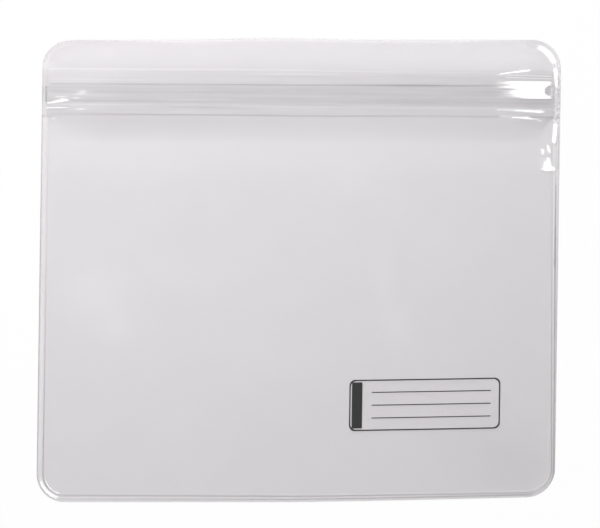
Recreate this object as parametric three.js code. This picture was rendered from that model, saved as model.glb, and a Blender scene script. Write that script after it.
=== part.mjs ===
import * as THREE from 'three';

// Clear document pouch with a press-to-close zip, in millimetres, empty and lying on its back film.
// X runs across the pouch, Y from its bottom weld to its open lips, and Z up through its thickness.
// The origin is on the underside, at the middle of the pouch.

// Films, cut to one outline
const pouchWidth = 220;
const pouchHeight = 196;
const cornerRadius = 12;
const filmThickness = 0.3;

// Slack of the front film over the back film
const pocketGap = 1.6;
const pocketRise = 18; // run from the weld to the full pocket gap
const pocketFall = 14; // run from the zip down to the pocket gap
const lipGap = 0.8;
const lipRise = 8; // run from the weld to the full lip gap

// Weld that joins the films along the sides and the bottom and round all four corners
const weldWidth = 3;
const beadWidth = 0.7;
const beadHeight = 0.12;
const pressDepth = 0.08;
const weldStep = 1.5; // run from the crushed zip down to bare welded film

// Zip strips, an extruded tape with ribs and one with grooves
const tapeBelowCorner = 1;
const lipFlange = 6.3;
const pocketFlange = 4.3;
const tapeThickness = 0.35;
const featherEdge = 0.12;
const featherRun = 1.5;
const trackCount = 2;
const trackPitch = 4.3;
const neckWidth = 0.7;
const neckHeight = 0.55;
const headWidth = 1.5;
const headHeight = 0.75;
const barbHeight = 0.2;
const noseWidth = 0.6;
const jawWall = 0.5;
const leadIn = 0.15;
const zipClearance = 0.1;
const guideInset = 2.4;
const guideWidth = 0.6;
const guideHeight = 0.35;
const edgeRound = 0.15;

// Zip ends, crushed flat in the side welds
const crushedHeight = 0.5;
const crushLength = 14;

// Facets
const cornerSteps = 6;
const roundSteps = 2;
const crushSteps = 7;
const riseSteps = 3;
const middleSteps = 6;

// Places and heights that follow from the sizes
const tapeWidth = pocketFlange + trackCount * trackPitch + lipFlange;
const tapeTop = pouchHeight - cornerRadius - tapeBelowCorner;
const tapeBottom = tapeTop - tapeWidth;
const headTop = tapeThickness + neckHeight + headHeight;
const grooveRoof = headTop + zipClearance;
const zipHeight = grooveRoof + tapeThickness;

const ease = (share) => THREE.MathUtils.smoothstep(share, 0, 1);
const { lerp } = THREE.MathUtils;

// Lists of stations, in order and without doubles
const sorted = (values) => [...new Set(values.map((value) => Number(value.toFixed(3))))].sort((a, b) => a - b);
const spread = (from, to, steps) => Array.from({ length: steps + 1 }, (_, i) => lerp(from, to, i / steps));

// Section of the weld: distance in from the edge, and height above the film
const weldSection = [
  [0, 0],
  [beadWidth / 2, beadHeight],
  [beadWidth, -pressDepth],
  [weldWidth - beadWidth, -pressDepth],
  [weldWidth - beadWidth / 2, beadHeight],
  [weldWidth, 0],
];

function beadRelief(distance) {
  const next = weldSection.findIndex(([at]) => at > distance);
  if (next < 1) {
    return 0;
  }
  const [fromAt, fromHeight] = weldSection[next - 1];
  const [toAt, toHeight] = weldSection[next];
  return lerp(fromHeight, toHeight, (distance - fromAt) / (toAt - fromAt));
}

// Distance in from the welded stretch of the outline. The straight top edge is not welded.
function weldDistance(x, y) {
  const side = Math.min(x, pouchWidth - x);
  const aboveCorner = y - (pouchHeight - cornerRadius);
  if (aboveCorner > 0 && side > cornerRadius) {
    return Math.hypot(side - cornerRadius, pouchHeight - y);
  }
  if (aboveCorner > 0) {
    return cornerRadius - Math.hypot(cornerRadius - side, aboveCorner);
  }
  if (y < cornerRadius && side < cornerRadius) {
    return cornerRadius - Math.hypot(cornerRadius - side, cornerRadius - y);
  }
  return Math.min(side, y);
}

// The closed zip keeps its full height up to the crushed ends
function zipShare(x) {
  const fromWeld = Math.min(x, pouchWidth - x) - weldWidth;
  return lerp(crushedHeight / zipHeight, 1, ease(fromWeld / crushLength));
}

// The front film lies on the back film in the weld, on the zip over the tape, and is slack between
function frontUnderside(x, y) {
  const fromWeld = weldDistance(x, y) - weldWidth;
  const overZip = zipHeight * zipShare(x);
  const overLips = y > tapeTop;
  const slackGap = overLips ? lipGap : pocketGap;
  const slackRise = ease(fromWeld / (overLips ? lipRise : pocketRise));
  const fullFall = overLips ? pouchHeight - tapeTop : pocketFall;
  const fromTape = overLips ? y - tapeTop : tapeBottom - y;
  const fall = lerp(weldStep, fullFall, slackRise);
  return filmThickness + lerp(overZip, slackGap * slackRise, ease(fromTape / fall));
}

function frontTopside(x, y) {
  return frontUnderside(x, y) + filmThickness + beadRelief(weldDistance(x, y));
}

// Stations measured in from a welded edge
const riseEnd = weldWidth + pocketRise;
const crushEnd = weldWidth + crushLength;
const edgeStations = sorted([
  ...weldSection.map(([at]) => at),
  ...spread(weldWidth, crushEnd, crushSteps),
  ...spread(cornerRadius, Math.max(riseEnd, cornerRadius), riseSteps),
]);
const ringInsets = edgeStations.filter((at) => at <= cornerRadius);
const gridInsets = edgeStations.filter((at) => at >= cornerRadius);
const gridReach = gridInsets[gridInsets.length - 1];
const gridX = sorted([
  ...gridInsets,
  ...spread(gridReach, pouchWidth - gridReach, middleSteps),
  ...gridInsets.map((at) => pouchWidth - at),
]);
const gridY = sorted([
  ...gridInsets,
  ...spread(gridReach, tapeBottom - pocketFall, middleSteps),
  ...spread(tapeBottom - pocketFall, tapeBottom - weldStep, riseSteps),
  tapeBottom - weldStep / 2,
  tapeBottom,
  tapeTop,
  pouchHeight - cornerRadius,
]);
const zipStations = sorted(
  [0, ...edgeStations.filter((at) => at >= weldWidth && at <= crushEnd)]
    .flatMap((at) => [at, pouchWidth - at]),
);

// Points round the pouch, a given distance inside its outline
function outlinePoints(inset) {
  const points = [];
  const addCorner = (centreX, centreY, startAngle) => {
    for (let step = 1; step < cornerSteps; step += 1) {
      const angle = startAngle + (Math.PI / 2) * (step / cornerSteps);
      const reach = cornerRadius - inset;
      points.push([centreX + reach * Math.cos(angle), centreY + reach * Math.sin(angle)]);
    }
  };
  const right = pouchWidth - cornerRadius;
  const top = pouchHeight - cornerRadius;
  gridX.forEach((x) => points.push([x, inset]));
  addCorner(right, cornerRadius, -Math.PI / 2);
  gridY.forEach((y) => points.push([pouchWidth - inset, y]));
  addCorner(right, top, 0);
  [...gridX].reverse().forEach((x) => points.push([x, pouchHeight - inset]));
  addCorner(cornerRadius, top, Math.PI / 2);
  [...gridY].reverse().forEach((y) => points.push([inset, y]));
  addCorner(cornerRadius, cornerRadius, Math.PI);
  return points;
}

function closedGeometry(vertices, faces) {
  const geometry = new THREE.BufferGeometry();
  geometry.setAttribute('position', new THREE.Float32BufferAttribute(vertices.flat(), 3));
  geometry.setIndex(faces.flat());
  geometry.computeVertexNormals();
  return geometry;
}

// Both skins of a film share one plan: rings along the outline, then a grid inside the corners
function filmGeometry(underside, topside) {
  const plan = [];
  const planIds = new Map();
  const idAt = ([x, y]) => {
    const key = `${x.toFixed(4)} ${y.toFixed(4)}`;
    if (!planIds.has(key)) {
      planIds.set(key, plan.length);
      plan.push([x, y]);
    }
    return planIds.get(key);
  };
  const skin = [];
  const addQuad = (a, b, c, d) => {
    const triangles = [[a, b, c], [a, c, d]];
    skin.push(...triangles.filter((triangle) => new Set(triangle).size === 3));
  };
  const rings = ringInsets.map((inset) => outlinePoints(inset).map(idAt));
  rings.slice(1).forEach((inner, ring) => {
    const outer = rings[ring];
    inner.forEach((id, i) => {
      const next = (i + 1) % inner.length;
      addQuad(outer[i], outer[next], inner[next], id);
    });
  });
  gridX.slice(1).forEach((x, i) => {
    gridY.slice(1).forEach((y, j) => {
      const corners = [[gridX[i], gridY[j]], [x, gridY[j]], [x, y], [gridX[i], y]];
      addQuad(...corners.map(idAt));
    });
  });
  const count = plan.length;
  const vertices = [
    ...plan.map(([x, y]) => [x, y, topside(x, y)]),
    ...plan.map(([x, y]) => [x, y, underside(x, y)]),
  ];
  const rim = rings[0].flatMap((a, i) => {
    const b = rings[0][(i + 1) % rings[0].length];
    return [[a + count, b + count, b], [a + count, b, a]];
  });
  const lowerSkin = skin.map(([a, b, c]) => [a + count, c + count, b + count]);
  return closedGeometry(vertices, [...skin, ...lowerSkin, ...rim]);
}

// Outline of [y, z, radius] corners, each rounded by its radius
function roundedSection(corners) {
  return corners.flatMap(([y, z, radius = 0], i) => {
    const corner = new THREE.Vector2(y, z);
    if (radius === 0) {
      return [corner];
    }
    const before = new THREE.Vector2(...corners.at(i - 1).slice(0, 2)).sub(corner);
    const after = new THREE.Vector2(...corners[(i + 1) % corners.length].slice(0, 2)).sub(corner);
    const reach = Math.min(radius, before.length() / 2, after.length() / 2);
    const from = corner.clone().add(before.setLength(reach));
    const to = corner.clone().add(after.setLength(reach));
    return new THREE.QuadraticBezierCurve(from, corner, to).getPoints(roundSteps);
  });
}

// Sweeps a zip section along the zip, and flattens it towards the crushed ends
function zipGeometry(section) {
  const count = section.length;
  const vertices = zipStations.flatMap((x) =>
    section.map(({ x: y, y: z }) => [x, tapeBottom + y, filmThickness + z * zipShare(x)]));
  const faces = [];
  zipStations.slice(1).forEach((_, station) => {
    const start = station * count;
    section.forEach((_corner, i) => {
      const a = start + i;
      const b = start + ((i + 1) % count);
      faces.push([a, b, b + count], [a, b + count, a + count]);
    });
  });
  const lastStart = (zipStations.length - 1) * count;
  THREE.ShapeUtils.triangulateShape(section, []).forEach(([a, b, c]) => {
    faces.push([c, b, a], [a + lastStart, b + lastStart, c + lastStart]);
  });
  return closedGeometry(vertices, faces);
}

const trackCentres = Array.from(
  { length: trackCount },
  (_, track) => pocketFlange + (track + 0.5) * trackPitch,
);

// Barbed rib, from its lip side to its pocket side
function ribCorners(centre) {
  const half = [
    [neckWidth / 2, tapeThickness, edgeRound],
    [neckWidth / 2, tapeThickness + neckHeight],
    [headWidth / 2, tapeThickness + neckHeight],
    [headWidth / 2, tapeThickness + neckHeight + barbHeight],
    [noseWidth / 2, headTop, edgeRound],
  ];
  const lipSide = half.map(([y, ...rest]) => [centre + y, ...rest]);
  const pocketSide = half.map(([y, ...rest]) => [centre - y, ...rest]).reverse();
  return [...lipSide, ...pocketSide];
}

// Two hooked jaws round a rib, from the pocket side to the lip side
function jawCorners(centre) {
  const cavityHalf = headWidth / 2 + zipClearance;
  const mouthHalf = neckWidth / 2 + zipClearance;
  const outerHalf = cavityHalf + jawWall;
  const jawTip = tapeThickness + zipClearance;
  const hookTop = tapeThickness + neckHeight - zipClearance;
  const half = [
    [outerHalf, grooveRoof, edgeRound],
    [outerHalf, jawTip, edgeRound],
    [mouthHalf + leadIn, jawTip],
    [mouthHalf, jawTip + leadIn],
    [mouthHalf, hookTop],
    [cavityHalf, hookTop],
    [cavityHalf, grooveRoof, edgeRound],
  ];
  const pocketSide = half.map(([y, ...rest]) => [centre - y, ...rest]);
  const lipSide = half.map(([y, ...rest]) => [centre + y, ...rest]).reverse();
  return [...pocketSide, ...lipSide];
}

const ribSection = roundedSection([
  [0, 0],
  [tapeWidth, 0],
  [tapeWidth, featherEdge],
  [tapeWidth - featherRun, tapeThickness],
  ...[...trackCentres].reverse().flatMap(ribCorners),
  [featherRun, tapeThickness],
  [0, featherEdge],
]);

const guideCentre = tapeWidth - guideInset;
const grooveSection = roundedSection([
  [0, zipHeight - featherEdge],
  [featherRun, grooveRoof],
  ...trackCentres.flatMap(jawCorners),
  [guideCentre - guideWidth / 2, grooveRoof],
  [guideCentre - guideWidth / 2, grooveRoof - guideHeight, edgeRound],
  [guideCentre + guideWidth / 2, grooveRoof - guideHeight, edgeRound],
  [guideCentre + guideWidth / 2, grooveRoof],
  [tapeWidth - featherRun, grooveRoof],
  [tapeWidth, zipHeight - featherEdge],
  [tapeWidth, zipHeight],
  [0, zipHeight],
]);

// Flat sheet that the pouch lies on
function backFilmGeometry() {
  const outline = new THREE.Shape(outlinePoints(0).map(([x, y]) => new THREE.Vector2(x, y)));
  return new THREE.ExtrudeGeometry(outline, { depth: filmThickness, bevelEnabled: false });
}

function clearPiece(name, geometry, color, roughness, opacity) {
  const material = new THREE.MeshStandardMaterial({
    color,
    roughness,
    metalness: 0,
    transparent: true,
    opacity,
  });
  const mesh = new THREE.Mesh(geometry, material);
  mesh.name = name;
  return mesh;
}

const pouch = new THREE.Group();
pouch.add(
  clearPiece('back_film', backFilmGeometry(), 0xdcdddd, 0.3, 0.45),
  clearPiece('front_film', filmGeometry(frontUnderside, frontTopside), 0xdedfdf, 0.25, 0.45),
  clearPiece('zip_rib_strip', zipGeometry(ribSection), 0xd0d1d1, 0.3, 0.6),
  clearPiece('zip_groove_strip', zipGeometry(grooveSection), 0xd2d3d3, 0.3, 0.6),
);
pouch.position.set(-pouchWidth / 2, -pouchHeight / 2, 0);

export default pouch;
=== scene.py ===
import math
import bpy
import numpy as np
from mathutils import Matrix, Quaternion, Vector, noise


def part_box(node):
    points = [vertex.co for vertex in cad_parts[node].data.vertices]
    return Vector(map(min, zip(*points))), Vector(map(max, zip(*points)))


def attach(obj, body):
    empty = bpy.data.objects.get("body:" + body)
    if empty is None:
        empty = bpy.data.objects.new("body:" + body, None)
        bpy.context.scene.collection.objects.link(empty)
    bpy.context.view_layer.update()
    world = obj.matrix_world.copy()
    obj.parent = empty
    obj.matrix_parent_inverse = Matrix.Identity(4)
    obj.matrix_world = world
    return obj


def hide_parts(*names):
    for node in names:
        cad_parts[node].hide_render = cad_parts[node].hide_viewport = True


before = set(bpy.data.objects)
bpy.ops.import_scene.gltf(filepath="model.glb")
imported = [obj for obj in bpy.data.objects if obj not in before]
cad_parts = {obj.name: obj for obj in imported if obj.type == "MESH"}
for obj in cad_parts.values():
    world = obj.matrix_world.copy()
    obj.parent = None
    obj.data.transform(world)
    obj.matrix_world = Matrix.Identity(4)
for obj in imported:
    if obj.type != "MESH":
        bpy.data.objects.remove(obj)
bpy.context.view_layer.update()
print("frame loaded")

mm = 0.001
filmLow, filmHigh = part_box("back_film")
grooveLow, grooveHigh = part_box("zip_groove_strip")

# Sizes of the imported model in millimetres, from the pouch's lower left corner
pouch = {
    "width": (filmHigh.x - filmLow.x) / mm,
    "height": (filmHigh.y - filmLow.y) / mm,
    "film": (filmHigh.z - filmLow.z) / mm,
    "corner": 12.0,
    "weld": 3.0,
    "tapeBottom": (grooveLow.y - filmLow.y) / mm,
    "tapeTop": (grooveHigh.y - filmLow.y) / mm,
    "zipHeight": (grooveHigh.z - filmHigh.z) / mm,
}

# How the soft pouch lies: it leans, its bottom rises to the right and its zip droops there
lie = {
    "lean": 2.8,
    "bottomSag": 0.13,
    "bottomRise": 2.3,
    "riseFrom": 0.5,
    "risePower": 1.2,
    "zipLift": 0.65,
    "zipDroop": 1.2,
    "droopFrom": 60.0,
    "humpHeight": 0.75,
    "humpAt": 94.5,
    "humpReach": 28.0,
    "humpFrom": 0.9,
    "humpRun": 0.1,
}


def mix(a, b, share):
    return a + (b - a) * share


def smooth(share):
    share = np.clip(share, 0, 1)
    return share * share * (3 - 2 * share)


def laid(x, y):
    across = x / pouch["width"]
    upward = y / pouch["height"]
    zipRows = [lie["droopFrom"], pouch["tapeBottom"], pouch["tapeTop"], pouch["height"]]
    zipShare = np.interp(y, zipRows, [0, 1, 1, 0])
    turnedUp = np.clip((across - lie["riseFrom"]) / (1 - lie["riseFrom"]), 0, 1) ** lie["risePower"]
    rise = lie["bottomRise"] * turnedUp - lie["bottomSag"]
    hump = lie["humpHeight"] * np.exp(-((x - lie["humpAt"]) / lie["humpReach"]) ** 2)
    laidX = x - pouch["width"] / 2 + lie["lean"] * (upward - 0.5)
    laidY = y - pouch["height"] / 2 + rise * (1 - upward)
    laidY = laidY + zipShare * (lie["zipLift"] - lie["zipDroop"] * across)
    return laidX, laidY + hump * np.clip((upward - lie["humpFrom"]) / lie["humpRun"], 0, 1)


def fromSide(x):
    return np.minimum(x, pouch["width"] - x)


# Distance in from the welded outline. The straight top edge is not welded.
def weldDistance(x, y):
    corner = pouch["corner"]
    side = fromSide(x)
    above = y - (pouch["height"] - corner)
    bottomArc = corner - np.hypot(corner - side, corner - y)
    topArc = corner - np.hypot(corner - side, above)
    pastArc = np.hypot(side - corner, pouch["height"] - y)
    found = np.where((y < corner) & (side < corner), bottomArc, np.minimum(side, y))
    return np.where(above > 0, np.where(side > corner, pastArc, topArc), found)


# How far a place in the weld belongs to the left, bottom, right and top side
def weldSides(x, y):
    corner = pouch["corner"]
    outX = x - np.clip(x, corner, pouch["width"] - corner)
    outY = y - np.clip(y, corner, pouch["height"] - corner)
    reach = np.maximum(np.hypot(outX, outY), 1e-6)
    outX, outY = outX / reach, outY / reach
    return {
        "left": np.maximum(-outX, 0) ** 2,
        "bottom": np.maximum(-outY, 0) ** 2,
        "right": np.maximum(outX, 0) ** 2,
        "top": np.maximum(outY, 0) ** 2,
    }


def along(table, places):
    return np.interp(places, [row[0] for row in table], [row[1] for row in table])


def threeWay(share, ends):
    return np.interp(share, [0, 0.5, 1], ends)


# Front film over the closed zip, the slack pocket and the open lips
slack = {
    "pocketGap": 0.9,
    "pocketRise": 60.0,
    "pocketFall": 12.0,
    "fallFrom": 8.0,
    "lipGap": 1.4,
    "lipRise": 50.0,
    "lipWeldFade": 6.0,
    "lipTapeFade": 4.0,
    "weldStep": 1.5,
    "crushedHeight": 0.5,
    "leftCrush": 30.0,
    "rightCrush": 14.0,
    "zipClearance": 0.03,
    "rippleHeight": 0.14,
    "rippleSize": 42.0,
    "rippleInset": 6.0,
    "rippleWeldFade": 25.0,
    "rippleZipFade": 20.0,
    "rippleSeed": 3.0,
}


def crushShare(x):
    least = slack["crushedHeight"] / pouch["zipHeight"]
    left = smooth((x - pouch["weld"]) / slack["leftCrush"])
    right = np.clip((pouch["width"] - x - pouch["weld"]) / slack["rightCrush"], 0, 1)
    return mix(least, 1, np.minimum(left, right))


def grain(x, y, seed):
    return np.array([noise.noise(Vector((px, py, seed))) for px, py in zip(x, y)])


def ripple(x, y):
    waves = grain(x / slack["rippleSize"], y / slack["rippleSize"], slack["rippleSeed"])
    fromWeld = weldDistance(x, y) - slack["rippleInset"]
    fromZip = pouch["tapeBottom"] - y - slack["rippleInset"]
    fade = smooth(fromWeld / slack["rippleWeldFade"]) * smooth(fromZip / slack["rippleZipFade"])
    return slack["rippleHeight"] * waves * fade


def underside(x, y):
    fromWeld = weldDistance(x, y) - pouch["weld"]
    overZip = pouch["zipHeight"] * crushShare(x) + slack["zipClearance"]
    fromTape = y - pouch["tapeTop"]
    lips = mix(overZip, slack["lipGap"] * smooth(fromWeld / slack["lipRise"]),
               smooth(fromTape / (pouch["height"] - pouch["tapeTop"])))
    lips = lips * mix(1, smooth(fromWeld / slack["lipWeldFade"]), smooth(fromTape / slack["lipTapeFade"]))
    fall = mix(slack["weldStep"], slack["pocketFall"], smooth(fromWeld / slack["fallFrom"]))
    pocket = mix(overZip, slack["pocketGap"] * smooth(fromWeld / slack["pocketRise"]),
                 smooth((pouch["tapeBottom"] - y) / fall))
    return pouch["film"] + np.where(fromTape > 0, lips, pocket) + ripple(x, y)


# What shows of the zip in the film: heights over the plain film by millimetres below the lips, how
# much further down each row lies at the right end, and how far in from the sides it starts
zipRelief = {
    "section": [
        (12.3, 0.0), (13.0, 0.04), (18.9, 0.03), (19.4, -0.06), (26.9, -0.07), (27.6, 0.03),
        (31.7, 0.02), (32.1, -0.05), (34.5, 0.0),
    ],
    "fall": [(12.3, 2.0), (14.0, 1.2), (15.8, 0.35), (19.1, -0.05), (22.7, 1.1), (26.8, 1.5),
             (28.0, 2.5), (31.9, 0.6)],
    "lineHeight": 0.08,
    "reliefFrom": 2.6,
    "reliefFade": 1.2,
    "toneFrom": 2.4,
    "toneFade": 1.0,
}

# Painted shade and highlight lines of the zip in the film, where its edges turn from the light or to it:
# millimetres below the lips, half width, and tone at the left end, in the middle and at the right end
zipShadeAndHighlightLines = [
    (12.2, 0.6, -0.04, -0.04, -0.03),
    (13.0, 0.4, 0.25, 0.2, 0.15),
    (15.8, 0.28, -0.04, -0.14, -0.1),
    (17.3, 0.35, 0.06, 0.0, -0.05),
    (19.35, 0.28, -0.2, -0.56, -0.4),
    (20.9, 0.4, -0.02, -0.03, 0.02),
    (22.7, 0.25, -0.1, -0.14, -0.25),
    (24.6, 0.35, 0.02, 0.0, -0.03),
    (26.8, 0.4, -0.06, -0.03, -0.03),
    (28.0, 0.35, 0.24, 0.24, 0.24),
    (30.3, 0.5, -0.02, -0.03, -0.04),
    (32.2, 0.28, -0.18, -0.46, -0.32),
]

# Fine drawn streaks of the zip plastic: tone, their pitch and length, and the rows that have them
streaks = {"tone": 0.22, "pitch": 0.55, "run": 45.0, "from": 12.6, "to": 33.5, "seed": 5.0}

# Broad painted light and shade over the zip, the lips and the film beside them: millimetres below the
# lips, and tone at the left and the right end
zipPaintedLightAndShade = [
    (0.0, -0.07, 0.15), (7.0, -0.07, 0.15), (11.5, -0.07, 0.02), (13.2, 0.03, -0.03),
    (18.9, 0.04, -0.06), (19.4, 0.03, 0.0), (23.5, 0.02, 0.0), (26.9, -0.03, -0.02),
    (27.8, -0.09, -0.04), (31.8, -0.1, -0.06), (32.4, -0.13, -0.07), (35.0, -0.13, -0.06),
    (37.5, -0.05, -0.01), (44.0, 0.0, 0.0),
]


def belowLips(x, y):
    below = pouch["height"] - y
    return below - (x / pouch["width"]) ** 2 * along(zipRelief["fall"], below)


def zipPaintedLineTones(x, y):
    below = belowLips(x, y)
    total = np.zeros_like(x)
    for at, half, *tones in zipShadeAndHighlightLines:
        total = total + np.exp(-((below - at) / half) ** 2) * threeWay(x / pouch["width"], tones)
    inZip = smooth(below - streaks["from"]) * smooth(streaks["to"] - below)
    drawn = grain(x / streaks["run"], below / streaks["pitch"], streaks["seed"])
    total = total + streaks["tone"] * drawn * inZip
    return total * smooth((fromSide(x) - zipRelief["toneFrom"]) / zipRelief["toneFade"])


def zipPaintedLightAndShadeTones(x, y):
    below = belowLips(x, y)
    left = along([(at, leftTone) for at, leftTone, rightTone in zipPaintedLightAndShade], below)
    right = along([(at, rightTone) for at, leftTone, rightTone in zipPaintedLightAndShade], below)
    inside = smooth((weldDistance(x, y) - zipRelief["toneFrom"]) / zipRelief["toneFade"])
    return mix(left, right, x / pouch["width"]) * inside


def zipHeights(x, y):
    inside = smooth((fromSide(x) - zipRelief["reliefFrom"]) / zipRelief["reliefFade"])
    section = along(zipRelief["section"], belowLips(x, y)) * inside
    return section + zipRelief["lineHeight"] * zipPaintedLineTones(x, y)


# Section of the weld in from the edge, and the painted shade and highlight lines in it on each side:
# millimetres in at the side's two ends, half width, and tone at its start, middle and end, upwards
# or to the right
weld = {
    "section": [(0, 0.01), (0.35, 0.05), (0.8, 0.0), (1.2, -0.02), (2.1, -0.02), (2.6, 0.05), (3.2, 0)],
    "lines": {
        "left": [(0.1, 0.1, 0.28, -0.65, -0.7, -0.2), (1.35, 1.35, 0.85, 0.7, 0.22, 0.05),
                 (2.65, 2.8, 0.25, -0.9, -0.3, 0.0), (3.3, 3.3, 0.4, 0.1, 0.03, 0.0)],
        "bottom": [(0.2, 0.2, 0.3, 0.35, 0.3, 0.35), (1.2, 1.15, 0.24, -0.15, -0.55, -0.8),
                   (1.95, 1.5, 0.3, 0.3, 0.25, 0.15), (3.0, 1.95, 0.24, -0.5, -0.6, -0.5),
                   (3.5, 2.6, 0.3, 0.15, 0.1, 0.2)],
        "right": [(0.2, 0.2, 0.3, -0.15, -0.15, 0.3), (0.6, 1.9, 0.24, -0.75, -0.75, 0.2),
                  (1.3, 4.0, 0.25, -0.8, -0.35, 0.1), (1.0, 3.0, 0.3, 0.15, 0.35, 0.3),
                  (1.9, 1.9, 0.4, 0.0, 0.0, 0.8), (1.0, 1.0, 0.8, 0.0, 0.0, 0.4)],
    },
    "cornerFade": 0.12,
    "cornerPower": 4,
}

# Corners whose weld is turned to the light or away, with painted highlight arcs and a faint painted
# shade: the two sides, millimetres in, half width, tone and facet
paintedCornerArcs = [
    ("right", "top", 2.7, 0.95, 1.0, "right"),
    ("right", "top", 6.0, 2.4, -0.05, None),
    ("left", "bottom", 1.35, 0.75, 1.0, "corner"),
    ("left", "bottom", 3.3, 0.3, 0.8, "corner"),
    ("right", "bottom", 1.0, 0.3, 0.4, None),
    ("right", "bottom", 2.3, 0.3, 0.25, None),
]

# Where a facet's normal leans, to the right and upwards for one unit up, so that it mirrors a lamp:
# marks at the left and at the right of the zip, the lower left corner, and the creases under the zip
facetSlopes = {
    "left": (-0.14, -0.27), "right": (0.065, 0.056), "corner": (-0.135, -0.14), "crease": (0.06, 0.077),
}
creasesBelow = 161.0


def paintedCornerShares(x, y):
    distance = weldDistance(x, y)
    sides = weldSides(x, y)
    for first, second, at, half, tone, facet in paintedCornerArcs:
        share = smooth(np.minimum(sides[first], sides[second]) / weld["cornerFade"])
        yield share * np.exp(-((distance - at) / half) ** weld["cornerPower"]), tone, facet


def weldPaintedLineTones(x, y):
    distance = weldDistance(x, y)
    sides = weldSides(x, y)
    runs = {"left": y / pouch["height"], "bottom": x / pouch["width"], "right": y / pouch["height"]}
    total = np.zeros_like(x)
    for side, lines in weld["lines"].items():
        for start, end, half, *tones in lines:
            away = distance - mix(start, end, runs[side])
            total = total + sides[side] * np.exp(-(away / half) ** 2) * threeWay(runs[side], tones)
    return total + sum(share * tone for share, tone, facet in paintedCornerShares(x, y))


def weldHeights(x, y):
    return along(weld["section"], weldDistance(x, y))


# Soft milky clouds in the film with painted light and shade. A painted reflection makes the film paler
# under the zip. Its patches, with place, reach across and up, and tone, are milky clouds, painted sheen
# and painted shade; the first four are painted glints in the crushed left end of the zip.
cloudingAndSheen = {
    "stepAt": 136.0,
    "stepReach": 9.0,
    "stepTone": 0.06,
    "zipFade": 12.0,
    "weldFrom": 3.2,
    "weldFade": 3.0,
    "patches": [
        (17.3, 173.35, 3.4, 0.75, 0.52), (15.4, 172.35, 3.8, 0.32, 0.3),
        (14.6, 170.8, 2.8, 0.45, 0.38), (16.6, 166.1, 3.4, 0.5, 0.55),
        (24.0, 88.0, 14.0, 11.0, 0.13), (33.0, 74.0, 8.0, 7.0, 0.1), (146.0, 92.0, 4.0, 13.0, 0.08),
        (204.0, 8.0, 16.0, 14.0, -0.05), (40.0, 150.0, 60.0, 34.0, -0.05),
        (152.0, 74.0, 5.0, 9.0, 0.1), (60.0, 96.0, 20.0, 9.0, 0.05), (96.0, 60.0, 22.0, 12.0, 0.04),
        (58.0, 33.0, 18.0, 16.0, 0.05), (196.0, 20.0, 24.0, 16.0, -0.05),
        (176.0, 110.0, 16.0, 12.0, 0.03), (132.0, 138.0, 14.0, 7.0, 0.06),
        (40.0, 142.0, 26.0, 9.0, 0.04),
    ],
}


# Sum of soft round bumps, each with its place, reach across and up, and height
def bumps(table, x, y, total):
    for atX, atY, reachX, reachY, height in table:
        total = total + height * np.exp(-((x - atX) / reachX) ** 2 - ((y - atY) / reachY) ** 2)
    return total


def cloudAndSheenTones(x, y):
    step = cloudingAndSheen["stepTone"] * smooth((y - cloudingAndSheen["stepAt"]) / cloudingAndSheen["stepReach"])
    step = step * smooth((pouch["tapeBottom"] - y) / cloudingAndSheen["zipFade"])
    inside = smooth((weldDistance(x, y) - cloudingAndSheen["weldFrom"]) / cloudingAndSheen["weldFade"])
    return bumps(cloudingAndSheen["patches"], x, y, step) * inside


# Creases and dents beside the welds and in the crushed zip: place, reach across and up, and height
puckerFade = 0.8
puckers = [
    (217.0, 156.1, 2.2, 5.5, 0.2),
    (212.8, 147.9, 0.8, 1.1, 0.22),
    (215.4, 148.9, 0.9, 1.2, 0.25),
    (212.2, 142.4, 3.2, 3.0, 0.3),
    (215.0, 141.2, 2.0, 1.0, 0.22),
    (218.0, 97.0, 1.0, 1.6, -0.12),
    (215.6, 174.7, 1.3, 1.9, -0.1),
]


def puckerHeights(x, y):
    return bumps(puckers, x, y, np.zeros_like(x)) * smooth(weldDistance(x, y) / puckerFade)


# The crushed upper half of the zip's right end, which faces a lamp and has a painted highlight: its tone
# paints it nearly white. Its left side is ragged, and starts gives how much further right it begins at
# each height. A round notch is left dark in it.
glintPane = {
    "from": 188.5, "fromFade": 6.0, "soft": 13.5,
    "to": 217.2, "toFade": 2.2,
    "bottom": 170.9, "top": 178.9, "rowFade": 0.5,
    "starts": [(170.9, 7.0), (171.8, 4.0), (172.6, 2.0), (173.5, 0.0), (174.3, 1.0), (175.2, 5.0),
               (176.0, -2.5), (176.9, -1.0), (177.7, -2.5), (178.9, -2.0)],
    "ragged": 0.3, "run": 14.0, "pitch": 0.8, "seed": 2.0,
    "notchX": 214.9, "notchY": 174.6, "notchWidth": 1.35, "notchHeight": 2.1,
    "notchFrom": 0.7, "notchFade": 0.5,
    "tone": 0.8,
}


def glintPaneShare(x, y):
    start = (x - glintPane["from"] - along(glintPane["starts"], y)) / glintPane["soft"]
    start = start + glintPane["ragged"] * grain(x / glintPane["run"], y / glintPane["pitch"], glintPane["seed"])
    inside = smooth(start) * smooth((x - glintPane["from"]) / glintPane["fromFade"])
    inside = inside * smooth((glintPane["to"] - x) / glintPane["toFade"])
    inside = inside * smooth((glintPane["top"] - y) / glintPane["rowFade"])
    inside = inside * smooth((y - glintPane["bottom"]) / glintPane["rowFade"])
    notch = np.hypot((x - glintPane["notchX"]) / glintPane["notchWidth"], (y - glintPane["notchY"]) / glintPane["notchHeight"])
    return inside * smooth((notch - glintPane["notchFrom"]) / glintPane["notchFade"])
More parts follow.
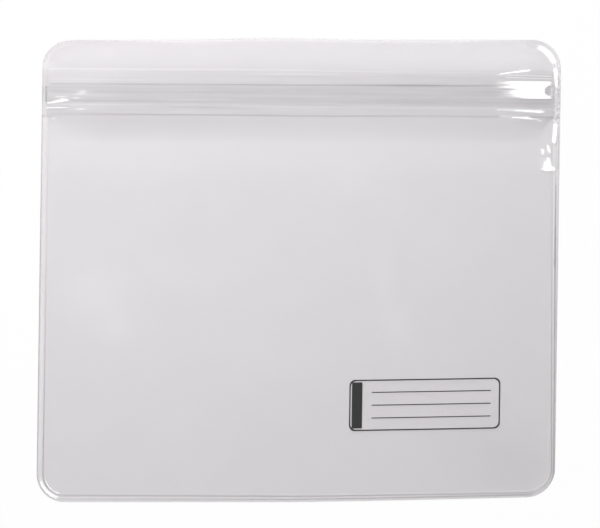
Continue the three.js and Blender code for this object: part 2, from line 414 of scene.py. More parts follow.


# Marks in the crushed and creased film: ends of the stroke, its half width at both, and its tone. Bright
# ones are painted highlights and glints, dark ones painted shade beside the crushed zip, its notch and the
# welds, and the last one is a dark speck. A mark brighter or darker than crisp has a sharp edge, and a
# bright one is a facet too.
crisp = {"tone": 0.75, "power": 4, "softPower": 2}
glintShadeAndSpeckMarks = [
    (214.5, 176.1, 214.3, 173.2, 0.3, 0.3, -0.3),
    (214.8, 176.5, 215.8, 176.3, 0.3, 0.3, -0.25),
    (214.8, 172.9, 215.8, 173.1, 0.3, 0.3, -0.25),
    (216.0, 175.6, 216.0, 173.8, 0.3, 0.3, 0.35),
    (217.7, 183.4, 218.2, 176.6, 0.9, 0.4, 0.9),
    (218.55, 134.0, 218.6, 100.0, 0.24, 0.2, -0.4),
    (219.45, 156.0, 219.45, 141.0, 0.22, 0.22, -0.5),
    (194.2, 181.8, 206.5, 183.3, 0.2, 0.4, 1.0),
    (192.9, 181.4, 215.9, 180.9, 0.22, 0.22, 0.5),
    (196.8, 180.2, 216.3, 179.8, 0.25, 0.25, 0.5),
    (193.5, 166.4, 212.3, 165.6, 0.45, 0.9, 0.75),
    (200.5, 166.2, 212.4, 165.65, 0.25, 0.5, 1.0),
    (194.5, 163.6, 206.5, 163.0, 0.35, 0.75, 0.75),
    (199.6, 163.2, 205.8, 163.0, 0.25, 0.45, 1.0),
    (205.8, 163.0, 208.2, 162.5, 0.42, 0.35, 1.0),
    (209.8, 162.4, 212.0, 161.6, 0.5, 0.5, 0.75),
    (194.4, 169.0, 213.5, 168.6, 0.5, 0.8, -0.08),
    (217.1, 174.2, 217.1, 163.5, 0.22, 0.22, -0.4),
    (2.6, 168.6, 9.4, 169.9, 0.32, 0.95, 1.0),
    (9.4, 170.0, 11.8, 169.5, 0.7, 0.25, 1.0),
    (5.5, 171.3, 10.1, 171.3, 0.35, 0.35, 0.4),
    (2.3, 166.6, 10.2, 166.7, 0.3, 0.25, 0.85),
    (0.9, 176.0, 0.9, 166.5, 0.7, 0.7, 0.12),
    (0.9, 171.0, 0.9, 168.5, 0.6, 0.6, 0.08),
    (1.8, 180.9, 1.7, 175.5, 0.18, 0.18, -0.35),
    (1.7, 175.5, 1.75, 169.2, 0.2, 0.24, -0.9),
    (2.3, 165.6, 2.3, 162.8, 0.18, 0.18, -0.35),
    (218.0, 159.8, 217.5, 153.0, 0.95, 0.95, 1.0),
    (212.6, 149.2, 213.3, 147.2, 0.55, 0.55, 1.0),
    (215.1, 150.9, 215.7, 148.2, 0.5, 0.7, 1.0),
    (215.4, 146.0, 214.9, 142.2, 0.4, 2.1, 1.0),
    (212.4, 140.9, 217.5, 141.0, 0.45, 0.9, 1.0),
    (11.2, 47.9, 11.3, 47.9, 0.22, 0.22, -0.8),
]


def strokes(x, y):
    for fromX, fromY, toX, toY, fromHalf, toHalf, tone in glintShadeAndSpeckMarks:
        runX, runY = toX - fromX, toY - fromY
        share = np.clip(((x - fromX) * runX + (y - fromY) * runY) / (runX ** 2 + runY ** 2), 0, 1)
        away = np.hypot(x - fromX - share * runX, y - fromY - share * runY)
        away = away / mix(fromHalf, toHalf, share)
        facet = "left" if fromX < pouch["width"] / 2 else "right"
        if facet == "right" and fromY < creasesBelow:
            facet = "crease"
        power = crisp["power"] if abs(tone) > crisp["tone"] else crisp["softPower"]
        yield np.exp(-away ** power), tone, facet


def glintShadeAndSpeckTones(x, y):
    return sum(share * tone for share, tone, facet in strokes(x, y)) + glintPane["tone"] * glintPaneShare(x, y)


# Sparkle where the zip is crushed into the right weld: small bumps, painted glints in the tone, and facets
sparkle = {
    "from": 158.0, "to": 187.0, "endFade": 3.0,
    "reach": 3.0, "reachFade": 0.5,
    "height": 0.04, "size": 0.9, "seed": 8.0, "tone": 0.5, "facet": 0.9,
}


def sparkles(x, y):
    size = sparkle["size"]
    beside = smooth((sparkle["reach"] - (pouch["width"] - x)) / sparkle["reachFade"])
    beside = beside * smooth((y - sparkle["from"]) / sparkle["endFade"])
    beside = beside * smooth((sparkle["to"] - y) / sparkle["endFade"])
    return grain(x / size, y / size, sparkle["seed"]) * beside


# The facets as a vector: its third part is how far a place turns to the facet, and the first two
# are the facet's slope by that share
def facets(x, y, glitter):
    shares = [(share, facetSlopes[facet]) for share, tone, facet in paintedCornerShares(x, y) if facet]
    shares += [(share, facetSlopes[facet]) for share, tone, facet in strokes(x, y)
               if tone > crisp["tone"]]
    shares.append((glintPaneShare(x, y) ** 2, facetSlopes["right"]))
    shares.append((smooth(glitter * sparkle["facet"]), facetSlopes["right"]))
    found = sum(np.column_stack([share * across, share * up, share]) for share, (across, up) in shares)
    return found / np.maximum(found[:, 2:], 1)


# Plan of the front film: rings inside its outline at these insets, then a grid inside its corners,
# fine at the sides, over the creases and over the zip
filmGrid = {
    "insets": [0, 0.1, 0.2, 0.35, 0.5, 0.7, 0.9, 1.1, 1.3, 1.5, 1.7, 1.9, 2.1, 2.3, 2.5, 2.7, 2.9, 3.1,
               3.35, 3.7, 4.2, 5, 6, 7.2, 8.6, 10.3, 12],
    "arcSteps": 14,
    "endReach": 36.0,
    "endStep": 0.8,
    "middleStep": 3.2,
    "faceStep": 2.0,
    "creaseFrom": 126.0,
    "creaseStep": 0.6,
    "zipMargin": 3.0,
    "zipStep": 0.22,
}

# Plan of the flat back film, which stops just short of the front film's underside
backGrid = {"insets": [0, 0.3, 0.6, 2.4, 2.7, 3, 12], "step": 8.0, "gap": 0.01}


def spread(low, high, step):
    count = max(1, round((high - low) / step))
    return [low + (high - low) * i / count for i in range(count)]


def filmPlan(insets, acrossAt, upAt, arcSteps):
    corner, width, height = pouch["corner"], pouch["width"], pouch["height"]
    points, ids = [], {}

    def idAt(x, y):
        key = (round(x, 4), round(y, 4))
        if key not in ids:
            ids[key] = len(points)
            points.append((x, y))
        return ids[key]

    def arc(centreX, centreY, start, inset):
        angles = [start + math.pi / 2 * step / arcSteps for step in range(1, arcSteps)]
        reach = corner - inset
        return [(centreX + reach * math.cos(a), centreY + reach * math.sin(a)) for a in angles]

    def ring(inset):
        places = [(x, inset) for x in acrossAt]
        places += arc(width - corner, corner, -math.pi / 2, inset)
        places += [(width - inset, y) for y in upAt]
        places += arc(width - corner, height - corner, 0, inset)
        places += [(x, height - inset) for x in reversed(acrossAt)]
        places += arc(corner, height - corner, math.pi / 2, inset)
        places += [(inset, y) for y in reversed(upAt)]
        places += arc(corner, corner, math.pi, inset)
        return [idAt(x, y) for x, y in places]

    rings = [ring(inset) for inset in insets]
    quads = []
    for outer, inner in zip(rings, rings[1:]):
        for i in range(len(outer)):
            j = (i + 1) % len(outer)
            quads.append((outer[i], outer[j], inner[j], inner[i]))
    for x0, x1 in zip(acrossAt, acrossAt[1:]):
        for y0, y1 in zip(upAt, upAt[1:]):
            quads.append((idAt(x0, y0), idAt(x1, y0), idAt(x1, y1), idAt(x0, y1)))
    faces = [tuple(dict.fromkeys(quad)) for quad in quads]
    plan = np.array(points)
    return plan[:, 0], plan[:, 1], [face for face in faces if len(face) > 2], rings[0]


def addPiece(name, mesh, material, slot, *nodes):
    piece = bpy.data.objects.new(name, mesh)
    bpy.context.collection.objects.link(piece)
    mesh.materials.clear()
    mesh.materials.append(material)
    if nodes:
        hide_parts(*nodes)
    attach(piece, "root")
    return piece


def closedFilm(name, plan, low, high, tone, facet):
    x, y, upper, rim = plan
    count = len(x)
    laidX, laidY = laid(x, y)
    corners = np.concatenate([np.column_stack([laidX, laidY, high]), np.column_stack([laidX, laidY, low])])
    lower = [tuple(corner + count for corner in reversed(face)) for face in upper]
    edge = [(a + count, b + count, b, a) for a, b in zip(rim, rim[1:] + rim[:1])]
    mesh = bpy.data.meshes.new(name)
    mesh.from_pydata((corners * mm).tolist(), [], upper + lower + edge)
    layer = mesh.attributes.new("tone", "FLOAT", "POINT")
    layer.data.foreach_set("value", np.concatenate([tone, tone]).astype(np.float32))
    layer = mesh.attributes.new("facet", "FLOAT_VECTOR", "POINT")
    layer.data.foreach_set("vector", np.concatenate([facet, facet]).astype(np.float32).ravel())
    mesh.shade_smooth()
    mesh.validate()
    return mesh


# Shader maths: a value in a node tree
class Value:
    def __init__(self, tree, socket):
        self.tree = tree
        self.socket = socket

    def math(self, operation, first, second):
        sockets = {0: first, 1: second}
        return self.tree.add("ShaderNodeMath", {"operation": operation}, sockets)["Value"]

    def __add__(self, other):
        return self.math("ADD", self, other)

    def __radd__(self, other):
        return self.math("ADD", other, self)

    def __sub__(self, other):
        return self.math("SUBTRACT", self, other)

    def __rsub__(self, other):
        return self.math("SUBTRACT", other, self)

    def __mul__(self, other):
        return self.math("MULTIPLY", self, other)

    def __rmul__(self, other):
        return self.math("MULTIPLY", other, self)


class AddedNode:
    def __init__(self, tree, node):
        self.tree = tree
        self.node = node

    def __getitem__(self, output):
        return Value(self.tree, self.node.outputs[output])


class Tree:
    def __init__(self, nodeTree):
        self.nodeTree = nodeTree
        self.nodeTree.nodes.clear()

    def add(self, kind, settings=None, sockets=None):
        node = self.nodeTree.nodes.new(kind)
        for name, setting in (settings or {}).items():
            if name == "stops":
                elements = node.color_ramp.elements
                while len(elements) < len(setting):
                    elements.new(0.5)
                for element, (position, grey) in zip(elements, setting):
                    element.position = position
                    element.color = (*grey, 1)
            else:
                setattr(node, name, setting)
        for name, value in (sockets or {}).items():
            if isinstance(value, Value):
                self.nodeTree.links.new(value.socket, node.inputs[name])
            else:
                node.inputs[name].default_value = value
        return AddedNode(self, node)


def newMaterial(name):
    material = bpy.data.materials.new(name)
    material.use_nodes = True
    return material, Tree(material.node_tree)


# Colour and cover of the film from its darkest to its palest tone, with the plain film at 0.5. The dark
# end draws the painted shade lines and a speck, the pale end the painted highlights.
filmLook = {
    "stops": [(0.0, (0.12, 0.115, 0.125)), (0.5, (0.868, 0.838, 0.864)), (0.65, (1.0, 0.98, 1.0))],
    "alphaStops": [(0.0, (0.635,) * 3), (0.5, (0.335,) * 3), (0.62, (0.335,) * 3), (1.0, (0.95,) * 3)],
    "mottle": 0.035,
    "mottleScale": 26.0,
    "haze": 0.035,
    "roughness": 0.1,
    "roughnessSpread": 0.08,
    "grainScale": 900.0,
    "grainStrength": 0.04,
    "grainDepth": 0.0002,
    "ior": 1.53,
    "specular": 1.0,
}


def filmMaterial():
    material, tree = newMaterial("milkyClearFilm")
    place = tree.add("ShaderNodeTexCoord")["Object"]
    tone = tree.add("ShaderNodeAttribute", {"attribute_name": "tone"})["Fac"]
    clouds = tree.add("ShaderNodeTexNoise", {}, {
        "Vector": place, "Scale": filmLook["mottleScale"], "Detail": 1.0})["Fac"]
    fineGrain = tree.add("ShaderNodeTexNoise", {}, {
        "Vector": place, "Scale": filmLook["grainScale"], "Detail": 0.0})["Fac"]
    shade = 0.5 + 0.5 * tone + (clouds - 0.5) * filmLook["mottle"]
    colour = tree.add("ShaderNodeValToRGB", {"stops": filmLook["stops"]}, {"Fac": shade})["Color"]
    facet = tree.add("ShaderNodeAttribute", {"attribute_name": "facet"})["Vector"]
    share = tree.add("ShaderNodeSeparateXYZ", {}, {"Vector": facet})["Z"]
    plain = tree.add("ShaderNodeNewGeometry")["Normal"]
    upward = tree.add("ShaderNodeSeparateXYZ", {}, {"Vector": plain})["Z"]
    side = tree.add("ShaderNodeMath", {"operation": "SIGN"}, {0: upward})["Value"]
    kept = tree.add("ShaderNodeVectorMath", {"operation": "SCALE"}, {0: plain, "Scale": 1 - share})
    taken = tree.add("ShaderNodeVectorMath", {"operation": "SCALE"}, {0: facet, "Scale": side})
    turned = tree.add("ShaderNodeVectorMath", {"operation": "ADD"}, {
        0: kept["Vector"], 1: taken["Vector"]})["Vector"]
    faced = tree.add("ShaderNodeVectorMath", {"operation": "NORMALIZE"}, {0: turned})["Vector"]
    relief = tree.add("ShaderNodeBump", {}, {
        "Height": fineGrain, "Strength": filmLook["grainStrength"], "Distance": filmLook["grainDepth"],
        "Normal": faced})
    cover = tree.add("ShaderNodeValToRGB", {"stops": filmLook["alphaStops"]}, {
        "Fac": 0.5 + 0.5 * tone})["Color"]
    alpha = cover + (clouds - 0.5) * filmLook["haze"]
    surface = tree.add("ShaderNodeBsdfPrincipled", {}, {
        "Base Color": colour,
        "Roughness": filmLook["roughness"] + clouds * filmLook["roughnessSpread"],
        "Alpha": alpha,
        "IOR": filmLook["ior"],
        "Specular IOR Level": filmLook["specular"],
        "Normal": relief["Normal"],
    })
    tree.add("ShaderNodeOutputMaterial", {}, {"Surface": surface["BSDF"]})
    return material


def makeFilms(material):
    grid = filmGrid
    corner, width, height = pouch["corner"], pouch["width"], pouch["height"]
    zipFrom = pouch["tapeBottom"] - grid["zipMargin"]
    acrossAt = spread(corner, grid["endReach"], grid["endStep"])
    acrossAt += spread(grid["endReach"], width - grid["endReach"], grid["middleStep"])
    acrossAt += spread(width - grid["endReach"], width - corner, grid["endStep"]) + [width - corner]
    upAt = spread(corner, grid["creaseFrom"], grid["faceStep"])
    upAt += spread(grid["creaseFrom"], zipFrom, grid["creaseStep"])
    upAt += spread(zipFrom, height - corner, grid["zipStep"]) + [height - corner]
    plan = filmPlan(grid["insets"], acrossAt, upAt, grid["arcSteps"])
    x, y = plan[0], plan[1]
    low = underside(x, y)
    glitter = sparkles(x, y)
    relief = zipHeights(x, y) + weldHeights(x, y) + puckerHeights(x, y) + sparkle["height"] * glitter
    high = low + pouch["film"] + relief

    # Tone: painted light and shade, painted highlights and glints, milky clouds, sparkle and a speck
    tone = zipPaintedLineTones(x, y) * (1 - glintPaneShare(x, y)) + zipPaintedLightAndShadeTones(x, y)
    tone = tone + weldPaintedLineTones(x, y) + cloudAndSheenTones(x, y)
    tone = np.clip(tone + glintShadeAndSpeckTones(x, y) + sparkle["tone"] * glitter, -1, 1)
    mesh = closedFilm("front_film_skin", plan, low, high, tone, facets(x, y, glitter))
    front = addPiece("front_film_skin", mesh, material, "clear_film", "front_film")

    backAcross = spread(corner, width - corner, backGrid["step"]) + [width - corner]
    backUp = spread(corner, height - corner, backGrid["step"]) + [height - corner]
    plan = filmPlan(backGrid["insets"], backAcross, backUp, grid["arcSteps"])
    flat = np.zeros_like(plan[0])
    top = flat + pouch["film"] - backGrid["gap"]
    mesh = closedFilm("back_film_skin", plan, flat, top, flat, np.zeros((len(flat), 3)))
    back = addPiece("back_film_skin", mesh, material, "clear_film", "back_film")
    print("films made", len(front.data.polygons), len(back.data.polygons))


# Zip strips, each one section swept along the zip. Two barbed ribs snap into two grooves.
zipSection = {
    "tape": 0.35, "feather": 0.12, "featherRun": 1.5,
    "pocketFlange": 4.3, "pitch": 4.3, "tracks": 2,
    "neck": 0.7, "neckHeight": 0.55, "head": 1.5, "headHeight": 0.75, "barb": 0.2, "nose": 0.6,
    "jawWall": 0.5, "clearance": 0.1, "leadIn": 0.15,
    "guideInset": 2.4, "guideWidth": 0.6, "guideHeight": 0.35,
    "gap": 0.02, "edgeRound": 0.09, "coreReach": 1.9, "sweepStep": 1.1,
}


def trackCentres():
    size = zipSection
    return [size["pocketFlange"] + (track + 0.5) * size["pitch"] for track in range(size["tracks"])]


def ribSection(width):
    size = zipSection
    tape, shoulder = size["tape"], size["tape"] + size["neckHeight"]
    top = shoulder + size["headHeight"]
    half = [(size["neck"] / 2, tape), (size["neck"] / 2, shoulder), (size["head"] / 2, shoulder),
            (size["head"] / 2, shoulder + size["barb"]), (size["nose"] / 2, top)]
    outline = [(0, 0), (width, 0), (width, size["feather"]), (width - size["featherRun"], tape)]
    for centre in reversed(trackCentres()):
        outline += [(centre + y, z) for y, z in half] + [(centre - y, z) for y, z in reversed(half)]
    return outline + [(size["featherRun"], tape), (0, size["feather"])]


def grooveSection(width, height):
    size = zipSection
    roof = height - size["tape"]
    cavity = size["head"] / 2 + size["clearance"]
    mouth = size["neck"] / 2 + size["clearance"]
    tip = size["tape"] + size["clearance"]
    hook = size["tape"] + size["neckHeight"] - size["clearance"]
    half = [(cavity + size["jawWall"], roof), (cavity + size["jawWall"], tip),
            (mouth + size["leadIn"], tip), (mouth, tip + size["leadIn"]), (mouth, hook),
            (cavity, hook), (cavity, roof)]
    outline = [(0, height - size["feather"]), (size["featherRun"], roof)]
    for centre in trackCentres():
        outline += [(centre - y, z) for y, z in half] + [(centre + y, z) for y, z in reversed(half)]
    guide = width - size["guideInset"]
    low, high = guide - size["guideWidth"] / 2, guide + size["guideWidth"] / 2
    outline += [(low, roof), (low, roof - size["guideHeight"]), (high, roof - size["guideHeight"]),
                (high, roof), (width - size["featherRun"], roof), (width, height - size["feather"]),
                (width, height), (0, height)]
    return outline


# Each corner of a section is cut off, which leaves two blunter ones
def rounded(outline):
    points = []
    for i, (y, z) in enumerate(outline):
        for otherY, otherZ in (outline[i - 1], outline[(i + 1) % len(outline)]):
            run = math.hypot(otherY - y, otherZ - z)
            share = min(zipSection["edgeRound"], run / 3) / run
            points.append((mix(y, otherY, share), mix(z, otherZ, share)))
    return points


# Sweeps a section along the zip and crushes both ends flat towards the back film
def sweepTree():
    group = bpy.data.node_groups.new("sweepAlongZip", "GeometryNodeTree")
    group.is_modifier = True
    inputs = ["Length", "Spacing", "Base", "Weld", "Left Crush", "Right Crush", "Crushed Share"]
    group.interface.new_socket("Geometry", in_out="INPUT", socket_type="NodeSocketGeometry")
    for name in inputs:
        group.interface.new_socket(name, in_out="INPUT", socket_type="NodeSocketFloat")
    group.interface.new_socket("Material", in_out="INPUT", socket_type="NodeSocketMaterial")
    group.interface.new_socket("Geometry", in_out="OUTPUT", socket_type="NodeSocketGeometry")
    tree = Tree(group)
    given = tree.add("NodeGroupInput")
    length = given["Length"]
    end = tree.add("ShaderNodeCombineXYZ", {}, {"X": length})["Vector"]
    line = tree.add("GeometryNodeCurvePrimitiveLine", {}, {"End": end})["Curve"]
    path = tree.add("GeometryNodeResampleCurve", {"mode": "LENGTH"}, {
        "Curve": line, "Length": given["Spacing"]})["Curve"]
    section = tree.add("GeometryNodeMeshToCurve", {}, {"Mesh": given["Geometry"]})["Curve"]
    swept = tree.add("GeometryNodeCurveToMesh", {}, {
        "Curve": path, "Profile Curve": section, "Fill Caps": True})["Mesh"]
    place = tree.add("GeometryNodeInputPosition")["Position"]
    parts = tree.add("ShaderNodeSeparateXYZ", {}, {"Vector": place})
    fromLeft = parts["X"] - given["Weld"]
    fromRight = length - parts["X"] - given["Weld"]
    left = tree.add("ShaderNodeMapRange", {"interpolation_type": "SMOOTHSTEP"}, {
        "Value": fromLeft, "From Max": given["Left Crush"], "To Min": given["Crushed Share"]})["Result"]
    right = tree.add("ShaderNodeMapRange", {}, {
        "Value": fromRight, "From Max": given["Right Crush"], "To Min": given["Crushed Share"]})["Result"]
    share = tree.add("ShaderNodeMath", {"operation": "MINIMUM"}, {0: left, 1: right})["Value"]
    height = given["Base"] + (parts["Z"] - given["Base"]) * share
    placed = tree.add("ShaderNodeCombineXYZ", {}, {"X": parts["X"], "Y": parts["Y"], "Z": height})["Vector"]
    crushed = tree.add("GeometryNodeSetPosition", {}, {"Geometry": swept, "Position": placed})["Geometry"]
    solid = tree.add("GeometryNodeRealizeInstances", {}, {"Geometry": crushed})["Geometry"]
    finished = tree.add("GeometryNodeSetMaterial", {}, {
        "Geometry": solid, "Material": given["Material"]})["Geometry"]
    tree.add("NodeGroupOutput", {}, {"Geometry": finished})
    return group


# Clear zip plastic, drawn along its length and darker in the core that holds the tracks
zipLook = {
    "plastic": (0.80, 0.795, 0.805, 1),
    "plasticDark": (0.70, 0.695, 0.70, 1),
    "coreDark": (0.52, 0.515, 0.52, 1),
    "flangeAlpha": 0.06,
    "coreAlpha": 0.2,
    "roughness": 0.12,
    "roughnessSpread": 0.1,
    "drawnScale": (6.0, 1100.0, 200.0),
}


# The Mix node's numbered sockets: its factor, its two colours and its colour result
mixSockets = {"factor": 0, "first": 6, "second": 7, "result": 2}


def mixColours(tree, factor, first, second):
    sockets = {mixSockets["factor"]: factor, mixSockets["first"]: first, mixSockets["second"]: second}
    return tree.add("ShaderNodeMix", {"data_type": "RGBA"}, sockets)[mixSockets["result"]]


def zipMaterial():
    material, tree = newMaterial("clearZipPlastic")
    place = tree.add("ShaderNodeTexCoord")["Object"]
    core = tree.add("ShaderNodeAttribute", {"attribute_name": "core"})["Fac"]
    drawn = tree.add("ShaderNodeMapping", {}, {
        "Vector": place, "Scale": zipLook["drawnScale"]})["Vector"]
    lines = tree.add("ShaderNodeTexNoise", {}, {"Vector": drawn, "Scale": 1.0, "Detail": 1.0})["Fac"]
    drawnColour = mixColours(tree, lines, zipLook["plasticDark"], zipLook["plastic"])
    colour = mixColours(tree, core, drawnColour, zipLook["coreDark"])
    alpha = zipLook["flangeAlpha"] + core * (zipLook["coreAlpha"] - zipLook["flangeAlpha"])
    surface = tree.add("ShaderNodeBsdfPrincipled", {}, {
        "Base Color": colour,
        "Roughness": zipLook["roughness"] + lines * zipLook["roughnessSpread"],
        "Alpha": alpha,
        "IOR": filmLook["ior"],
    })
    tree.add("ShaderNodeOutputMaterial", {}, {"Surface": surface["BSDF"]})
    return material


def makeStrip(name, outline, node, sweep, material):
    base = pouch["film"]
    row = pouch["tapeBottom"]
    mesh = bpy.data.meshes.new(name)
    places = [(-(row + y) * mm, -(base + z) * mm, 0) for y, z in outline]  # the sweep turns it half round
    edges = [(i, (i + 1) % len(places)) for i in range(len(places))]
    mesh.from_pydata(places, edges, [])
    core = mesh.attributes.new("core", "FLOAT", "POINT")
    first = trackCentres()[0] - zipSection["coreReach"]
    last = trackCentres()[-1] + zipSection["coreReach"]
    core.data.foreach_set("value", [float(first < y < last) for y, z in outline])
    shape = bpy.data.objects.new(name + "_section", mesh)
    bpy.context.collection.objects.link(shape)
    modifier = shape.modifiers.new("sweep", "NODES")
    modifier.node_group = sweep
    values = {
        "Length": pouch["width"] * mm,
        "Spacing": zipSection["sweepStep"] * mm,
        "Base": base * mm,
        "Weld": pouch["weld"] * mm,
        "Left Crush": slack["leftCrush"] * mm,
        "Right Crush": slack["rightCrush"] * mm,
        "Crushed Share": slack["crushedHeight"] / pouch["zipHeight"],
        "Material": material,
    }
    for item in sweep.interface.items_tree:
        if item.in_out == "INPUT" and item.name in values:
            modifier[item.identifier] = values[item.name]
    evaluated = shape.evaluated_get(bpy.context.evaluated_depsgraph_get())
    swept = bpy.data.meshes.new_from_object(evaluated)
    bpy.data.objects.remove(shape)
    swept.name = name
    places = np.empty(len(swept.vertices) * 3)
    swept.vertices.foreach_get("co", places)
    places = places.reshape(-1, 3)
    laidX, laidY = laid(places[:, 0] / mm, places[:, 1] / mm)
    places[:, 0], places[:, 1] = laidX * mm, laidY * mm
    swept.vertices.foreach_set("co", places.ravel())
    swept.shade_flat()
    addPiece(name, swept, material, "zip_plastic", node)
    print(name, "swept", len(swept.polygons))


def makeZip():
    material = zipMaterial()
    sweep = sweepTree()
    width = pouch["tapeTop"] - pouch["tapeBottom"]
    gap = zipSection["gap"]
    rib = [(y, z + gap) for y, z in rounded(ribSection(width))]
    groove = [(y, z - gap) for y, z in rounded(grooveSection(width, pouch["zipHeight"]))]
    makeStrip("zip_rib_band", rib, "zip_rib_strip", sweep, material)
    makeStrip("zip_groove_band", groove, "zip_groove_strip", sweep, material)


# Write-on panel, a plain ruled frame printed in black
panel = {
    "left": 132.2, "right": 196.2, "bottom": 29.8, "top": 51.6,
    "radius": 2.5, "line": 0.55, "rules": 3, "ruleInset": 4.0, "ruleLine": 0.4,
    "tabWidth": 5.5, "tabInset": 1.1, "thickness": 0.02, "lift": 0.008,
    "cornerSteps": 8, "step": 1.5,
    "ink": (0.008, 0.008, 0.009, 1), "roughness": 0.35, "wear": 0.2, "wearScale": 2500.0,
}


def inkMaterial():
    material, tree = newMaterial("blackInk")
    place = tree.add("ShaderNodeTexCoord")["Object"]
    wear = tree.add("ShaderNodeTexNoise", {}, {
        "Vector": place, "Scale": panel["wearScale"], "Detail": 1.0})["Fac"]
    surface = tree.add("ShaderNodeBsdfPrincipled", {}, {
        "Base Color": panel["ink"],
        "Roughness": panel["roughness"] + wear * panel["wear"],
    })
    tree.add("ShaderNodeOutputMaterial", {}, {"Surface": surface["BSDF"]})
    return material


def roundedBox(left, bottom, right, top, radius):
    points = []
    steps = panel["cornerSteps"]
    corners = [(right - radius, bottom + radius, -0.5), (right - radius, top - radius, 0),
               (left + radius, top - radius, 0.5), (left + radius, bottom + radius, 1)]
    for centreX, centreY, start in corners:
        for step in range(steps + 1):
            angle = math.pi * (start + 0.5 * step / steps)
            points.append((centreX + radius * math.cos(angle), centreY + radius * math.sin(angle)))
    return points


# The same outline with points close enough to follow the film
def densely(points):
    found = []
    for (x0, y0), (x1, y1) in zip(points, points[1:] + points[:1]):
        count = max(1, math.ceil(math.hypot(x1 - x0, y1 - y0) / panel["step"]))
        found += [(mix(x0, x1, i / count), mix(y0, y1, i / count)) for i in range(count)]
    return found


def makePanel():
    size = panel
    bands = []
    outer = densely(roundedBox(size["left"], size["bottom"], size["right"], size["top"], size["radius"]))
    centreX, centreY = (size["left"] + size["right"]) / 2, (size["bottom"] + size["top"]) / 2
    halfX, halfY = size["right"] - centreX, size["top"] - centreY
    inner = [(centreX + (x - centreX) * (1 - size["line"] / halfX),
              centreY + (y - centreY) * (1 - size["line"] / halfY)) for x, y in outer]
    bands.append((outer, inner, True))
    pitch = (size["top"] - size["bottom"]) / (size["rules"] + 1)
    for rule in range(1, size["rules"] + 1):
        y = size["bottom"] + rule * pitch
        ruleFrom = size["left"] + size["tabWidth"] + size["ruleInset"]
        ruleTo = size["right"] - size["ruleInset"]
        xs = spread(ruleFrom, ruleTo, size["step"]) + [ruleTo]
        half = size["ruleLine"] / 2
        bands.append(([(x, y - half) for x in xs], [(x, y + half) for x in xs], False))
    tabLeft, tabRight = size["left"] + size["tabInset"], size["left"] + size["tabWidth"]
    tabLow, tabHigh = size["bottom"] + size["tabInset"], size["top"] - size["tabInset"]
    ys = spread(tabLow, tabHigh, size["step"]) + [tabHigh]
    bands.append(([(tabRight, y) for y in ys], [(tabLeft, y) for y in ys], False))

    places, faces = [], []
    for first, second, closed in bands:
        start, count = len(places), len(first)
        places += [point for pair in zip(first, second) for point in pair]
        for i in range(count if closed else count - 1):
            j = (i + 1) % count
            faces.append((start + 2 * i, start + 2 * j, start + 2 * j + 1, start + 2 * i + 1))
    x, y = np.array(places).T
    surface = underside(x, y) + pouch["film"] + size["lift"]
    laidX, laidY = laid(x, y)
    total = len(places)
    corners = np.concatenate([np.column_stack([laidX, laidY, surface + size["thickness"]]),
                              np.column_stack([laidX, laidY, surface])])
    edges = {(a, b) for face in faces for a, b in zip(face, face[1:] + face[:1])}
    rims = [(a + total, b + total, b, a) for a, b in sorted(edges) if (b, a) not in edges]
    under = [tuple(corner + total for corner in reversed(face)) for face in faces]
    mesh = bpy.data.meshes.new("write_on_panel")
    mesh.from_pydata((corners * mm).tolist(), [], faces + under + rims)
    mesh.validate()
    addPiece("write_on_panel", mesh, inkMaterial(), "print_ink")
    print("panel printed", len(mesh.polygons))


# Floor, world and camera. The floor and the world look white, mirrored and through the film too, but
# light the pouch only a little.
stage = {
    "floorSize": 6.0,
    "floorDrop": 0.02 * mm,
    "floorGlow": 0.97,
    "floorGrey": 0.9,
    "worldStrength": 0.12,
    "cameraHeight": 1.6,
    "viewWidth": 254.7,
    "aimAcross": 0.51,
    "aimUp": 2.91,
    "sensor": 36.0,
    "clip": (0.05, 20),
    "transparentBounces": 32,
}

# Lamps in metres and watts. The two strips are what the facets mirror.
lamps = {
    "keyLamp": {"place": (-0.22, 0.50, 0.50), "aim": (0, 0, 0), "size": (0.25, 0.25), "turn": 0,
                "power": 5.5, "mirrored": False},
    "rightStrip": {"place": (0.29, 0.24, 1.0), "aim": (0.29, 0.24, 0), "size": (0.12, 0.08), "turn": 0,
                   "power": 0.3, "mirrored": True},
    "leftStrip": {"place": (-0.44, -0.43, 1.0), "aim": (-0.44, -0.43, 0), "size": (0.5, 0.08),
                  "turn": -45, "power": 1.3, "mirrored": True},
}


def seenDirectly(tree):
    rays = tree.add("ShaderNodeLightPath")
    clear = tree.add("ShaderNodeMath", {"operation": "MAXIMUM"}, {
        0: rays["Is Camera Ray"], 1: rays["Is Glossy Ray"]})["Value"]
    return tree.add("ShaderNodeMath", {"operation": "MAXIMUM"}, {
        0: clear, 1: rays["Is Transmission Ray"]})["Value"]


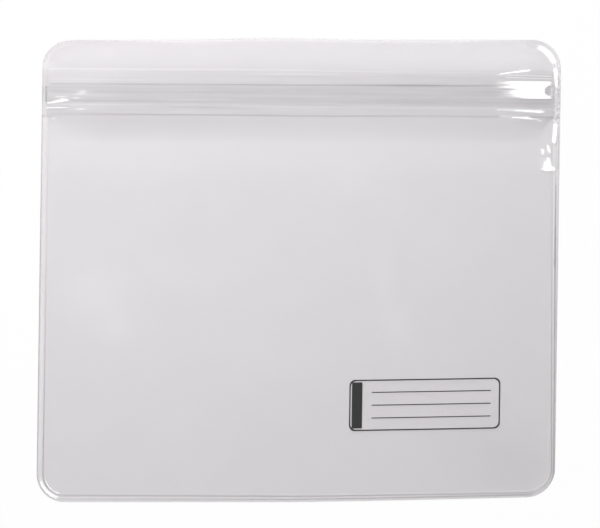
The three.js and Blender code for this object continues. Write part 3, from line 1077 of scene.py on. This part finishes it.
def makeFloor():
    half = stage["floorSize"] / 2
    corners = [(-half, -half), (half, -half), (half, half), (-half, half)]
    mesh = bpy.data.meshes.new("floor")
    mesh.from_pydata([(x, y, -stage["floorDrop"]) for x, y in corners], [], [(0, 1, 2, 3)])
    floor = bpy.data.objects.new("floor", mesh)
    bpy.context.collection.objects.link(floor)
    material, tree = newMaterial("whiteTable")
    grey = (stage["floorGrey"],) * 3
    white = tree.add("ShaderNodeBsdfDiffuse", {}, {"Color": (*grey, 1)})["BSDF"]
    glow = tree.add("ShaderNodeEmission", {}, {"Color": (1, 1, 1, 1), "Strength": 1.0})["Emission"]
    share = seenDirectly(tree) * stage["floorGlow"]
    both = tree.add("ShaderNodeMixShader", {}, {0: share, 1: white, 2: glow})["Shader"]
    tree.add("ShaderNodeOutputMaterial", {}, {"Surface": both})
    mesh.materials.append(material)


def makeWorld():
    world = bpy.data.worlds.new("studio")
    bpy.context.scene.world = world
    world.use_nodes = True
    tree = Tree(world.node_tree)
    strength = stage["worldStrength"] + seenDirectly(tree) * (1 - stage["worldStrength"])
    light = tree.add("ShaderNodeBackground", {}, {"Color": (1, 1, 1, 1), "Strength": strength})
    tree.add("ShaderNodeOutputWorld", {}, {"Surface": light["Background"]})


def makeLamps():
    for name, lamp in lamps.items():
        data = bpy.data.lights.new(name, "AREA")
        data.shape = "RECTANGLE"
        data.size, data.size_y = lamp["size"]
        data.energy = lamp["power"]
        thing = bpy.data.objects.new(name, data)
        thing.location = lamp["place"]
        towards = Vector(lamp["aim"]) - Vector(lamp["place"])
        turned = Quaternion((0, 0, 1), math.radians(lamp["turn"]))
        thing.rotation_euler = (towards.to_track_quat("-Z", "Y") @ turned).to_euler()
        thing.visible_camera = False
        thing.visible_glossy = lamp["mirrored"]
        bpy.context.collection.objects.link(thing)


def makeCamera():
    data = bpy.data.cameras.new("camera")
    data.sensor_width = stage["sensor"]
    data.lens = stage["sensor"] * stage["cameraHeight"] / (stage["viewWidth"] * mm)
    data.clip_start, data.clip_end = stage["clip"]
    camera = bpy.data.objects.new("camera", data)
    camera.location = (stage["aimAcross"] * mm, stage["aimUp"] * mm, stage["cameraHeight"])
    bpy.context.collection.objects.link(camera)
    bpy.context.scene.camera = camera


makeFilms(filmMaterial())
makeZip()
makePanel()
makeFloor()
makeWorld()
makeLamps()
makeCamera()
bpy.context.scene.view_settings.view_transform = "Standard"
bpy.context.scene.cycles.transparent_max_bounces = stage["transparentBounces"]
print("stage set")
